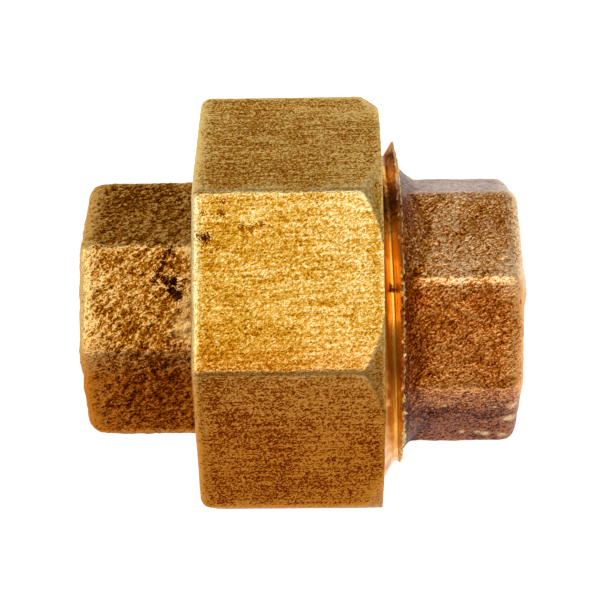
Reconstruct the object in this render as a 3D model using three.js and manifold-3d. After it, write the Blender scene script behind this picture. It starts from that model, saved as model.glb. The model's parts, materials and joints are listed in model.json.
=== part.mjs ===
// A cast brass pipe union for half-inch taper pipe thread: a thread piece, a tail piece that swivels,
// and an octagonal nut that draws the ball of one into the cone of the other.
// Millimetres. X runs along the pipe, from the tail piece to the thread piece, and Z is up.
// The origin is on the pipe's centreline, half way along the assembled union.
import * as THREE from "three";
import { mergeVertices } from "three/addons/utils/BufferGeometryUtils.js";
import Module from "manifold-3d";

const wasm = await Module();
wasm.setup();

// ---- Driving dimensions ----

const OVERALL_LENGTH = 49.5; // end face to end face, with the nut tight
const FLATS = 8; // every wrench band is an octagon
const HALF_SIDE_ANGLE = Math.PI / FLATS;

const NUT_WIDTH = 20.5;
const NUT_WALL = 2.9; // from the root of the nut's thread to a flat
const NUT_EDGE_ROUND = 1.2; // cast edge on the lip side
const NUT_CHAMFER_DEPTH = 2.2; // how far the turned cone reaches down the corners, along X
const NUT_CHAMFER_RIM = 0.3; // how far the cone's rim stands outside the flats
const LIP_THICKNESS = 3.8; // the inward lip that pulls on the collar
const NUT_MOUTH_BEVEL = 1.4; // length of the lead-in cone before the nut's thread

const THREAD_PIECE_FLATS = 29.4;
const THREAD_PIECE_REACH = 15.69; // thread piece's end face to the nut
const THREAD_PIECE_ROUND = 1.2; // cast edge at the end face
const THREAD_PIECE_TURN = 18.8; // degrees about X, octagon against the nut's
const SHOULDER_SHOW = 2.15; // threaded barrel that the tight nut leaves bare
const FLARE_RADIUS = 6.2; // concave cast flare from the octagon up to the barrel
const FLARE_TOP_BELOW_ROOT = 0.85; // flare's rim under the root of the barrel's thread
const BARREL_LEAD = 1.4; // length of the barrel's lead-in cone

const TAIL_FLATS = 29.0;
const TAIL_ROUND = 1.7;
const TAIL_TURN = 2.1; // degrees about X
const LIP_CLEARANCE = 0.5; // the nut slides over the tail's corners
const NECK_BELOW_CORNER = 0.3; // round neck under the octagon's corners
const NECK_CAST_OVERLAP = 0.6; // octagon carried on inside the nut
const COLLAR_OVERLAP = 1.7; // collar over lip, per side
const COLLAR_THICKNESS = 3.2;
const COLLAR_EDGE_BEVEL = 0.4;
const NOSE_LENGTH = 4.5;
const NOSE_ROOT_RADIUS = 12.6; // ball where it leaves the collar
const NOSE_TIP_WALL = 1.2; // ball's tip around the waterway

const UNION_PITCH = 3.175; // 8 threads to the inch, right hand
const UNION_CREST_FLAT = 0.33;
const UNION_ROOT_FLAT = 0.25;
const UNION_RUNOUT_ANGLE = 225; // degrees from +Y, where the groove's middle reaches the shoulder
const UNION_STEPS = 32; // facets in a turn

const PIPE_PITCH = 25.4 / 14; // half-inch taper pipe thread
const PIPE_MOUTH_PITCH_RADIUS = 9.886;
const PIPE_THREAD_DEPTH = 1.451;
const PIPE_TAPER = 1 / 32; // loss of radius along the axis
const PIPE_SOCKET_LENGTH = 13.5;
const PIPE_MOUTH_BEVEL = 0.7;
const PIPE_CREST_FLAT = 0.1;
const PIPE_STEPS = 24;

const WATERWAY_RADIUS = 8;
const WATERWAY_SEGMENTS = 24;

// ---- Clearances ----

const FACE_GAP = 0.3; // faces that bear on each other
const SEAT_GAP = 0.3; // ball to cone
const BARREL_TO_COLLAR = 0.8;
const COLLAR_CLEARANCE = 0.36; // collar inside the crests of the nut's thread
const THREAD_CLEARANCE = 0.3; // radial, root to crest
const FLANK_CLEARANCE = 0.2; // axial, each side
const RELIEF_CLEARANCE = 0.1; // relief groove past the root of the nut's thread
const PAST = 1; // how far a cutter runs past what it cuts

// ---- Sizes that follow ----

const TAN_FLANK = Math.tan(Math.PI / 6);
const cornerRadius = (acrossFlats) => acrossFlats / 2 / Math.cos(HALF_SIDE_ANGLE);

const lipHoleRadius = cornerRadius(TAIL_FLATS) + LIP_CLEARANCE;
const collarRadius = lipHoleRadius + COLLAR_OVERLAP;
const nutCrestRadius = collarRadius + COLLAR_CLEARANCE;
const barrelRootRadius = nutCrestRadius - THREAD_CLEARANCE;
const unionDepth = (UNION_PITCH - UNION_CREST_FLAT - UNION_ROOT_FLAT) / (2 * TAN_FLANK);
const barrelRadius = barrelRootRadius + unionDepth;
const nutRootRadius = barrelRadius + THREAD_CLEARANCE;
const reliefRadius = nutRootRadius + RELIEF_CLEARANCE;
const nutFlats = 2 * (nutRootRadius + NUT_WALL);

const threadEndX = OVERALL_LENGTH / 2;
const tailEndX = -OVERALL_LENGTH / 2;
const nutMouthX = threadEndX - THREAD_PIECE_REACH;
const nutLipX = nutMouthX - NUT_WIDTH;
const lipInsideX = nutLipX + LIP_THICKNESS;
const collarBackX = lipInsideX + FACE_GAP;
const collarFrontX = collarBackX + COLLAR_THICKNESS;
const noseTipX = collarFrontX + NOSE_LENGTH;
const barrelFaceX = collarFrontX + BARREL_TO_COLLAR;
const shoulderX = nutMouthX + SHOULDER_SHOW;
const noseTipRadius = WATERWAY_RADIUS + NOSE_TIP_WALL;

// ---- Helpers ----

// A closed mesh geometry as a solid for joining and cutting.
function solidOf(geometry) {
  const bare = new THREE.BufferGeometry().setAttribute("position", geometry.getAttribute("position"));
  if (geometry.index) bare.setIndex(geometry.index);
  const merged = mergeVertices(bare, 1e-4);
  const mesh = new wasm.Mesh({
    numProp: 3,
    vertProperties: new Float32Array(merged.getAttribute("position").array),
    triVerts: new Uint32Array(merged.index.array),
  });
  return new wasm.Manifold(mesh);
}

// A solid as a named three.js mesh.
function meshOf(name, solid, material) {
  const { numProp, vertProperties, triVerts } = solid.getMesh();
  const positions = new Float32Array((vertProperties.length / numProp) * 3);
  for (let i = 0; i < positions.length / 3; i++) {
    positions.set(vertProperties.subarray(i * numProp, i * numProp + 3), i * 3);
  }
  const geometry = new THREE.BufferGeometry();
  geometry.setAttribute("position", new THREE.BufferAttribute(positions, 3));
  geometry.setIndex(new THREE.BufferAttribute(new Uint32Array(triVerts), 1));
  geometry.computeVertexNormals();
  const mesh = new THREE.Mesh(geometry, material);
  mesh.name = name;
  return mesh;
}

// A turned solid about X. The outline is [x, radius] pairs, closed, in order of falling x along its outside.
function turned(outline, segments) {
  const points = outline.map(([x, radius]) => new THREE.Vector2(radius, x));
  points.push(points[0].clone());
  const geometry = new THREE.LatheGeometry(points, segments);
  // The lathe turns about its Y axis and starts at its Z axis: these turns lay Y along X and start at +Y.
  geometry.rotateZ(-Math.PI / 2);
  geometry.rotateX(-Math.PI / 2);
  const solid = solidOf(geometry);
  if (solid.volume() > 0) return solid;
  return turned([...outline].reverse(), segments);
}

// A plain cylinder about X, for boring.
const bored = (fromX, toX, radius, segments) =>
  turned([[toX, 0], [toX, radius], [fromX, radius], [fromX, 0]], segments);

// An octagonal bar about X with both ends' edges rounded; turn is in degrees about X, and 0 lays a flat on Z.
function octagonBar(fromX, toX, acrossFlats, round, turn) {
  const shape = new THREE.Shape();
  const radius = cornerRadius(acrossFlats);
  for (let i = 0; i < FLATS; i++) {
    const angle = HALF_SIDE_ANGLE * (2 * i + 1) + THREE.MathUtils.degToRad(turn);
    const place = [radius * Math.cos(angle), radius * Math.sin(angle)];
    if (i === 0) shape.moveTo(...place);
    else shape.lineTo(...place);
  }
  const geometry = new THREE.ExtrudeGeometry(shape, {
    depth: toX - fromX - 2 * round,
    bevelThickness: round,
    bevelSize: round,
    bevelOffset: -round,
    bevelSegments: 4,
  });
  geometry.translate(0, 0, fromX + round);
  geometry.applyMatrix4(new THREE.Matrix4().set(0, 0, 1, 0, 1, 0, 0, 0, 0, 1, 0, 0, 0, 0, 0, 1));
  return solidOf(geometry);
}

// A right-hand helix about X, through startX at startAngle, whose radius may change along the way.
class Helix extends THREE.Curve {
  constructor(startX, startAngle, turns, pitch, radius, radiusPerX) {
    super();
    Object.assign(this, { startX, startAngle, turns, pitch, radius, radiusPerX });
  }

  angle(t) {
    return this.startAngle + t * this.turns * 2 * Math.PI;
  }

  getPoint(t) {
    const along = t * this.turns * this.pitch;
    const radius = this.radius + along * this.radiusPerX;
    const angle = this.angle(t);
    return new THREE.Vector3(this.startX + along, radius * Math.cos(angle), radius * Math.sin(angle));
  }

  // Even steps in angle, so that the facets line up with those of the turned solid.
  getPointAt(t) {
    return this.getPoint(t);
  }

  // The section's first axis points away from X, and its second along -X, all the way round.
  computeFrenetFrames(segments) {
    const normals = [];
    const binormals = [];
    const tangents = [];
    for (let i = 0; i <= segments; i++) {
      const angle = this.angle(i / segments);
      normals.push(new THREE.Vector3(0, Math.cos(angle), Math.sin(angle)));
      binormals.push(new THREE.Vector3(-1, 0, 0));
      tangents.push(new THREE.Vector3(0, -Math.sin(angle), Math.cos(angle)));
    }
    return { normals, binormals, tangents };
  }
}

// The path of a thread groove from past fromX to past toX, through crossX at crossAngle (radians).
function groovePath(fromX, toX, crossX, crossAngle, pitch, steps, radiusAt) {
  const stepX = pitch / steps;
  const first = Math.floor((fromX - crossX) / stepX);
  const last = Math.ceil((toX - crossX) / stepX);
  const startX = crossX + first * stepX;
  const startAngle = crossAngle + (first * 2 * Math.PI) / steps;
  const radiusPerX = radiusAt(1) - radiusAt(0);
  const path = new Helix(startX, startAngle, (last - first) / steps, pitch, radiusAt(startX), radiusPerX);
  return { path, count: last - first };
}

// A V groove as a solid: rootHalf is half its flat root, depth its height, and outward says which way it opens.
function grooveCutter({ path, count }, rootHalf, depth, outward) {
  const mouthHalf = rootHalf + depth * TAN_FLANK;
  const side = outward ? 1 : -1;
  const spill = 0.35 * side; // straight-sided, so that neighbouring turns stay apart
  const corners = [
    [0, -rootHalf],
    [depth * side, -mouthHalf],
    [depth * side + spill, -mouthHalf],
    [depth * side + spill, mouthHalf],
    [depth * side, mouthHalf],
    [0, rootHalf],
  ];
  const shape = new THREE.Shape(corners.map(([x, y]) => new THREE.Vector2(x, y)));
  return solidOf(new THREE.ExtrudeGeometry(shape, { steps: count, extrudePath: path }));
}

// ---- Threads and sockets ----

// An angle rounded to a whole facet, so that the groove's corners meet the turned solid's.
const onFacet = (angle, steps) => (Math.round((angle * steps) / (2 * Math.PI)) * 2 * Math.PI) / steps;

// The union thread's groove, offset along X from the barrel's, and cut into the radius given.
function unionGroove(fromX, toX, offsetX, rootRadius, rootHalf, depth, outward) {
  const angle = onFacet(THREE.MathUtils.degToRad(UNION_RUNOUT_ANGLE), UNION_STEPS);
  const radiusAt = () => rootRadius;
  const route = groovePath(fromX, toX, shoulderX + offsetX, angle, UNION_PITCH, UNION_STEPS, radiusAt);
  return grooveCutter(route, rootHalf, depth, outward);
}

// A tapered pipe socket that opens at faceX; inward is 1 where the socket runs along +X.
function pipeSocket(faceX, inward) {
  const crest = PIPE_MOUTH_PITCH_RADIUS - PIPE_THREAD_DEPTH / 2;
  const root = PIPE_MOUTH_PITCH_RADIUS + PIPE_THREAD_DEPTH / 2;
  const radiusAt = (base) => (x) => base - (x - faceX) * inward * PIPE_TAPER;
  const mouthX = faceX - PAST * inward;
  const bevelX = faceX + (root + PIPE_MOUTH_BEVEL - crest) * inward;
  const endX = faceX + PIPE_SOCKET_LENGTH * inward;
  const cone = turned(
    [
      [mouthX, 0],
      [mouthX, root + PIPE_MOUTH_BEVEL + PAST],
      [bevelX, radiusAt(crest)(bevelX)],
      [endX, radiusAt(crest)(endX)],
      [endX, 0],
    ],
    PIPE_STEPS,
  );
  const fromX = Math.min(mouthX, endX);
  const toX = Math.max(mouthX, endX);
  const rootHalf = PIPE_PITCH / 2 - PIPE_CREST_FLAT / 2 - PIPE_THREAD_DEPTH * TAN_FLANK;
  const route = groovePath(fromX, toX, faceX, 0, PIPE_PITCH, PIPE_STEPS, radiusAt(root));
  const groove = grooveCutter(route, rootHalf, PIPE_THREAD_DEPTH, false);
  const blindEnd = bored(Math.min(endX, endX + 3 * PIPE_PITCH * inward),
    Math.max(endX, endX + 3 * PIPE_PITCH * inward), root + PAST, PIPE_STEPS);
  return cone.add(groove.subtract(blindEnd));
}

// ---- The three pieces ----

// The ball on the tail piece: its centre on X and its radius, through the collar's face and its own tip.
function ball() {
  const rise = NOSE_ROOT_RADIUS ** 2 - noseTipRadius ** 2;
  const centreX = (collarFrontX + noseTipX) / 2 - rise / (2 * NOSE_LENGTH);
  return { centreX, radius: Math.hypot(NOSE_ROOT_RADIUS, collarFrontX - centreX) };
}

function tailPiece() {
  const { centreX, radius } = ball();
  const neckRadius = cornerRadius(TAIL_FLATS) - NECK_BELOW_CORNER;
  const noseSteps = 5;
  const nose = Array.from({ length: noseSteps + 1 }, (_, i) => {
    const x = noseTipX - (i * NOSE_LENGTH) / noseSteps;
    return [x, Math.sqrt(radius ** 2 - (x - centreX) ** 2)];
  });
  const castEndX = nutLipX + NECK_CAST_OVERLAP;
  const bar = octagonBar(tailEndX, castEndX + TAIL_ROUND, TAIL_FLATS, TAIL_ROUND, TAIL_TURN);
  const turnedEnd = turned(
    [
      [noseTipX, 0],
      ...nose,
      [collarFrontX, collarRadius - COLLAR_EDGE_BEVEL],
      [collarFrontX - COLLAR_EDGE_BEVEL, collarRadius],
      [collarBackX, collarRadius],
      [collarBackX, neckRadius],
      [castEndX, neckRadius],
      [castEndX, 0],
    ],
    UNION_STEPS,
  );
  const waterway = bored(tailEndX - PAST, noseTipX + PAST, WATERWAY_RADIUS, WATERWAY_SEGMENTS);
  return bar.add(turnedEnd).subtract(waterway).subtract(pipeSocket(tailEndX, 1));
}

function threadPiece() {
  const flareTop = barrelRootRadius - FLARE_TOP_BELOW_ROOT;
  const flareFoot = THREAD_PIECE_FLATS / 2 - FACE_GAP;
  const arcHeight = flareFoot + FLARE_RADIUS;
  const reachAt = (r) => Math.sqrt(FLARE_RADIUS ** 2 - (arcHeight - r) ** 2);
  const flareSteps = 6;
  const flareFootX = shoulderX + reachAt(flareTop);
  const flare = Array.from({ length: flareSteps + 1 }, (_, i) => {
    const x = flareFootX - (i * reachAt(flareTop)) / flareSteps;
    return [x, arcHeight - Math.sqrt(FLARE_RADIUS ** 2 - (flareFootX - x) ** 2)];
  });
  const leadRadius = barrelRootRadius - FACE_GAP;
  const barrel = turned(
    [
      [flareFootX, 0],
      ...flare,
      [shoulderX, barrelRadius],
      [barrelFaceX + BARREL_LEAD, barrelRadius],
      [barrelFaceX, leadRadius],
      [barrelFaceX, 0],
    ],
    UNION_STEPS,
  );
  const barStartX = shoulderX - 2 * THREAD_PIECE_ROUND;
  const bar = octagonBar(barStartX, threadEndX, THREAD_PIECE_FLATS, THREAD_PIECE_ROUND, THREAD_PIECE_TURN);
  const groove = unionGroove(barrelFaceX - UNION_PITCH, shoulderX + UNION_PITCH, 0, barrelRootRadius,
    UNION_ROOT_FLAT / 2, unionDepth, true);
  const waterway = bored(barrelFaceX - PAST, threadEndX + PAST, WATERWAY_RADIUS, WATERWAY_SEGMENTS);
  return barrel.add(bar).subtract(groove).subtract(waterway).subtract(seatCone())
    .subtract(pipeSocket(threadEndX, -1));
}

// The conical seat: a cone that the ball, grown by the seat's gap, touches half way along the nose.
function seatCone() {
  const { centreX, radius } = ball();
  const touchX = (collarFrontX + noseTipX) / 2 - centreX;
  const lean = Math.asin(touchX / radius);
  const radiusAt = (x) => (radius + SEAT_GAP - (x - centreX) * Math.sin(lean)) / Math.cos(lean);
  const narrowRadius = WATERWAY_RADIUS - FACE_GAP;
  const narrowX = centreX + (radius + SEAT_GAP - narrowRadius * Math.cos(lean)) / Math.sin(lean);
  const mouthX = barrelFaceX - PAST;
  return turned([[narrowX, 0], [narrowX, narrowRadius], [mouthX, radiusAt(mouthX)], [mouthX, 0]], UNION_STEPS);
}

function unionNut() {
  const past = nutMouthX + PAST + NUT_EDGE_ROUND;
  const blank = octagonBar(nutLipX, past, nutFlats, NUT_EDGE_ROUND, 0);
  const rimRadius = nutFlats / 2 + NUT_CHAMFER_RIM;
  const corner = cornerRadius(nutFlats);
  const outside = corner + PAST;
  const coneSlope = (corner - rimRadius) / NUT_CHAMFER_DEPTH;
  const envelope = turned(
    [
      [nutMouthX, 0],
      [nutMouthX, rimRadius],
      [nutMouthX - (outside - rimRadius) / coneSlope, outside],
      [nutLipX - PAST, outside],
      [nutLipX - PAST, 0],
    ],
    2 * UNION_STEPS,
  );
  const reliefX = collarFrontX - FACE_GAP;
  const bevelSlope = (nutRootRadius - nutCrestRadius) / NUT_MOUTH_BEVEL;
  const inside = turned(
    [
      [nutMouthX + PAST, 0],
      [nutMouthX + PAST, nutRootRadius + PAST * bevelSlope],
      [nutMouthX - NUT_MOUTH_BEVEL, nutCrestRadius],
      [reliefX, nutCrestRadius],
      [reliefX, reliefRadius],
      [lipInsideX, reliefRadius],
      [lipInsideX, lipHoleRadius],
      [nutLipX - PAST, lipHoleRadius],
      [nutLipX - PAST, 0],
    ],
    UNION_STEPS,
  );
  const groove = unionGroove(reliefX, nutMouthX + UNION_PITCH, UNION_PITCH / 2, nutRootRadius,
    FLANK_CLEARANCE, nutRootRadius - nutCrestRadius, false);
  const stop = bored(lipInsideX - 2 * UNION_PITCH, reliefX - FACE_GAP, outside, UNION_STEPS);
  return blank.intersect(envelope).subtract(inside).subtract(groove.subtract(stop));
}

// ---- Assembly ----

const castBrass = new THREE.MeshStandardMaterial({ color: 0xa87a3c, roughness: 0.6, metalness: 0.8 });
const groundBrass = new THREE.MeshStandardMaterial({ color: 0xc9973f, roughness: 0.5, metalness: 0.85 });

const union = new THREE.Group();
union.add(
  meshOf("tail_piece", tailPiece(), castBrass),
  meshOf("union_nut", unionNut(), groundBrass),
  meshOf("thread_piece", threadPiece(), castBrass),
);

export default union;
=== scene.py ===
"""A cast brass pipe union on a pale table: tail piece, octagonal nut and thread piece.

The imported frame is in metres, with X along the pipe. Sizes here are in millimetres, and MM turns them
to metres where a mesh or a texture is made.
"""

from __future__ import annotations

import json
import logging
import math
import random
from dataclasses import dataclass, field
from enum import Enum
from typing import Callable, Iterable, Sequence

import bpy
import numpy as np
from mathutils import Matrix, Vector

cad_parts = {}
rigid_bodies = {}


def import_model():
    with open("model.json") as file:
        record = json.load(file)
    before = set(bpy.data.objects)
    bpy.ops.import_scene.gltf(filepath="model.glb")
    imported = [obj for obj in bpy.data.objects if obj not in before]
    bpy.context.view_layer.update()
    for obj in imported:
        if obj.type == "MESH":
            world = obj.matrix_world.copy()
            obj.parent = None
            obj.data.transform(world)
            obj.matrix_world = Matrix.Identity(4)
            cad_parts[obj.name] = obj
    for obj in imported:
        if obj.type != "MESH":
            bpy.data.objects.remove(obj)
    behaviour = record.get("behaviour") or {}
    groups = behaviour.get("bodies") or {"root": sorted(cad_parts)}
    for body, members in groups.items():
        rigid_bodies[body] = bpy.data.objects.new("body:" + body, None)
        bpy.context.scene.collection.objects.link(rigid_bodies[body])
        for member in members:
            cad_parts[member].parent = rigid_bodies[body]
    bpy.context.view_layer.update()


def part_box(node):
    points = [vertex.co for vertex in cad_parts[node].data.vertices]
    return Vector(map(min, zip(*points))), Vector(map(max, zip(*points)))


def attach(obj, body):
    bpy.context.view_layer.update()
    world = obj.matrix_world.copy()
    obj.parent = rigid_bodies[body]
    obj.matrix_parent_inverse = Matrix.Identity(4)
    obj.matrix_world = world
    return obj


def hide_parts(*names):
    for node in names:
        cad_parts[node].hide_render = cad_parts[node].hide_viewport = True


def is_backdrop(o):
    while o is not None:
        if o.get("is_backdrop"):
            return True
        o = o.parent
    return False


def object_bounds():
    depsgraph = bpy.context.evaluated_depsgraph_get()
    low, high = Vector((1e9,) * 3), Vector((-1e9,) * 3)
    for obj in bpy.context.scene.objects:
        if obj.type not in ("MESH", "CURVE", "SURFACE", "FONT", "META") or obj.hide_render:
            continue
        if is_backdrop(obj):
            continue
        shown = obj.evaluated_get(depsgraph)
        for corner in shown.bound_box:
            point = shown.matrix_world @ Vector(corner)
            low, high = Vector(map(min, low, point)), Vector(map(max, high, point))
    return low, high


LOG = logging.getLogger("pipe_union")
MM = 0.001
FLATS = 8
SAME_PLACE = 1e-6  # metres within which two places are one
SHARP_EDGE = 38.0  # degrees past which an edge isn't shaded smooth
THREAD_FLANK = 30.0  # degrees from a flank of a 60 degree thread to square with the pipe
FLANK_RUN = math.tan(math.radians(THREAD_FLANK))  # what a flank moves along X for each unit of height

Outline = Sequence[tuple[float, float]]
Tree = bpy.types.NodeTree
Socket = bpy.types.NodeSocket
Amount = Socket | float
Item = bpy.types.MeshEdge | bpy.types.MeshPolygon


# ---- Working on one object at a time ----


def deselect_all() -> None:
    """Leaves object mode with nothing selected."""
    if bpy.context.object and bpy.context.object.mode != "OBJECT":
        bpy.ops.object.mode_set(mode="OBJECT")
    bpy.ops.object.select_all(action="DESELECT")


def pick(obj: bpy.types.Object) -> None:
    """Selects one object and makes it the active one."""
    deselect_all()
    obj.select_set(True)
    bpy.context.view_layer.objects.active = obj


def named(name: str) -> bpy.types.Object:
    """Names the object that an operator has just made, and returns it."""
    obj = bpy.context.object
    obj.name = name
    obj.data.name = name
    return obj


def settle(obj: bpy.types.Object) -> None:
    """Applies an object's place, turn and scale to its mesh."""
    pick(obj)
    bpy.ops.object.transform_apply(location=True, rotation=True, scale=True)


def discard(obj: bpy.types.Object) -> None:
    """Removes a working object."""
    bpy.data.objects.remove(obj, do_unlink=True)


def finish_with(obj: bpy.types.Object, kind: str, **settings: object) -> None:
    """Adds a modifier with its settings and applies it.

    Args:
        obj: The object to change.
        kind: The modifier's type, such as "REMESH".
        settings: The modifier's properties by name.
    """
    pick(obj)
    modifier = obj.modifiers.new(kind.lower(), kind)
    for key, value in settings.items():
        setattr(modifier, key, value)
    bpy.ops.object.modifier_apply(modifier=modifier.name)


class Cut(Enum):
    """How one solid works on another."""

    AWAY = "DIFFERENCE"
    JOIN = "UNION"
    COMMON = "INTERSECT"


def machine(obj: bpy.types.Object, tool: bpy.types.Object, cut: Cut) -> None:
    """Joins, cuts or trims an object with a tool, and removes the tool."""
    finish_with(obj, "BOOLEAN", operation=cut.value, solver="MANIFOLD", object=tool)
    discard(tool)


def edit_where(
    obj: bpy.types.Object,
    element: str,
    test: Callable[[Item], bool],
    work: Callable[[], object],
) -> None:
    """Selects the edges or faces that pass a test and runs an edit-mode operator on them.

    Args:
        obj: The object to edit.
        element: "EDGE" or "FACE".
        test: Says whether an edge or a polygon is wanted.
        work: Calls the operator.
    """
    pick(obj)
    bpy.ops.object.mode_set(mode="EDIT")
    bpy.ops.mesh.select_mode(type=element)
    bpy.ops.mesh.select_all(action="DESELECT")
    bpy.ops.object.mode_set(mode="OBJECT")
    for item in obj.data.edges if element == "EDGE" else obj.data.polygons:
        item.select = test(item)
    bpy.ops.object.mode_set(mode="EDIT")
    work()
    bpy.ops.object.mode_set(mode="OBJECT")


def turn_faces_outward(obj: bpy.types.Object) -> None:
    """Makes a closed mesh's faces point outward."""
    edit_where(obj, "FACE", lambda _: True, lambda: bpy.ops.mesh.normals_make_consistent(inside=False))


def drop_crumbs(piece: bpy.types.Object) -> None:
    """Deletes the bits that a cut left loose, and keeps the body that reaches farthest along X."""
    far = max(piece.data.vertices, key=lambda vertex: vertex.co.x).index

    def delete_others() -> None:
        bpy.ops.mesh.select_linked()
        bpy.ops.mesh.select_all(action="INVERT")
        bpy.ops.mesh.delete(type="VERT")

    edit_where(piece, "FACE", lambda face: far in face.vertices, delete_others)


# ---- Blanks and tools, all about the X axis, in millimetres ----


def octagon_bar(name: str, span: tuple[float, float], flats: float, turn: float) -> bpy.types.Object:
    """An octagonal bar along X.

    Args:
        name: The new object's name.
        span: The X of its two ends.
        flats: Its size across the flats.
        turn: Degrees about X from the place where a flat lies level on top.

    Returns:
        The bar, with sharp edges.
    """
    deselect_all()
    bpy.ops.mesh.primitive_cylinder_add(
        vertices=FLATS,
        radius=flats / 2 / math.cos(math.pi / FLATS) * MM,
        depth=(span[1] - span[0]) * MM,
        location=((span[0] + span[1]) / 2 * MM, 0, 0),
        rotation=(0, math.pi / 2, 0),
    )
    bar = named(name)
    settle(bar)
    highest = max(bar.data.vertices, key=lambda v: (v.co.z, v.co.y)).co
    to_flat = math.pi / 2 - math.pi / FLATS - math.atan2(highest.z, highest.y)
    bar.rotation_euler = (to_flat + math.radians(turn), 0, 0)
    settle(bar)
    return bar


def round_end(bar: bpy.types.Object, at_x: float, size: float) -> None:
    """Rounds the edges round one end of a bar.

    Args:
        bar: The bar to round.
        at_x: X of the end, in millimetres.
        size: Width of the rounding, in millimetres.
    """

    def on_end(edge: bpy.types.MeshEdge) -> bool:
        return all(abs(bar.data.vertices[i].co.x - at_x * MM) < SAME_PLACE for i in edge.vertices)

    width = size * MM
    edit_where(bar, "EDGE", on_end, lambda: bpy.ops.mesh.bevel(offset=width, segments=5, profile=0.5))


def round_corners(bar: bpy.types.Object, size: float) -> None:
    """Rounds the long corners between a bar's flats.

    Args:
        bar: The bar to round.
        size: Width of the rounding, in millimetres.
    """

    def along_bar(edge: bpy.types.MeshEdge) -> bool:
        a, b = (bar.data.vertices[i].co for i in edge.vertices)
        return abs(a.x - b.x) > 0.5 * (a - b).length

    width = size * MM
    edit_where(bar, "EDGE", along_bar, lambda: bpy.ops.mesh.bevel(offset=width, segments=3, profile=0.5))


def profile(name: str, outline: Outline, closed: bool) -> bpy.types.Object:
    """A wire outline in the plane of X and Z, ready to be swept about X.

    Args:
        name: The new object's name.
        outline: Points of X and radius.
        closed: Whether the last point joins the first.

    Returns:
        The wire.
    """
    deselect_all()
    bpy.ops.mesh.primitive_circle_add(vertices=len(outline), radius=MM, fill_type="NOTHING")
    wire = named(name)
    for vertex, (x, radius) in zip(wire.data.vertices, outline):
        vertex.co = (x * MM, 0, radius * MM)
    if not closed:
        ends = {0, len(outline) - 1}

        def joins_ends(edge: bpy.types.MeshEdge) -> bool:
            return set(edge.vertices) == ends

        edit_where(wire, "EDGE", joins_ends, lambda: bpy.ops.mesh.delete(type="EDGE"))
    return wire


def turned(name: str, outline: Outline, steps: int, closed: bool = False) -> bpy.types.Object:
    """A solid turned about X.

    Args:
        name: The new object's name.
        outline: Points of X and radius. An open outline starts and ends on the axis.
        steps: Facets in a full turn.
        closed: Whether the outline is a ring's section, clear of the axis.

    Returns:
        The solid.
    """
    blank = profile(name, outline, closed)
    finish_with(
        blank,
        "SCREW",
        axis="X",
        angle=2 * math.pi,
        steps=steps,
        render_steps=steps,
        screw_offset=0,
        use_merge_vertices=True,
        merge_threshold=1e-7,
        use_smooth_shade=False,
    )
    turn_faces_outward(blank)
    return blank


def helical(name: str, section: Outline, pitch: float, turns: int, steps: int) -> bpy.types.Object:
    """A right-hand helical bar about X, for cutting a thread.

    Args:
        name: The new object's name.
        section: Points of X and radius, in the plane of X and Z where the cut starts.
        pitch: Advance along +X in a turn.
        turns: Whole turns.
        steps: Facets in a turn.

    Returns:
        The closed bar.
    """
    bar = profile(name, section, closed=True)
    finish_with(
        bar,
        "SCREW",
        axis="X",
        angle=2 * math.pi,
        steps=steps,
        render_steps=steps,
        screw_offset=pitch * MM,
        iterations=turns,
        use_smooth_shade=False,
    )
    pick(bar)
    bpy.ops.object.mode_set(mode="EDIT")
    bpy.ops.mesh.select_all(action="SELECT")
    bpy.ops.mesh.fill_holes(sides=0)
    bpy.ops.object.mode_set(mode="OBJECT")
    turn_faces_outward(bar)
    return bar


def arc(centre: tuple[float, float], radius: float, start: float, end: float, count: int) -> Outline:
    """Points on an arc in the plane of X and radius.

    Args:
        centre: X and radius of the arc's centre.
        radius: The arc's own radius.
        start: Degrees from +X at its first point.
        end: Degrees from +X at its last point.
        count: How many points.

    Returns:
        The points in order.
    """
    angles = [math.radians(start + (end - start) * i / (count - 1)) for i in range(count)]
    return [(centre[0] + radius * math.cos(a), centre[1] + radius * math.sin(a)) for a in angles]


# ---- Threads ----


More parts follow.
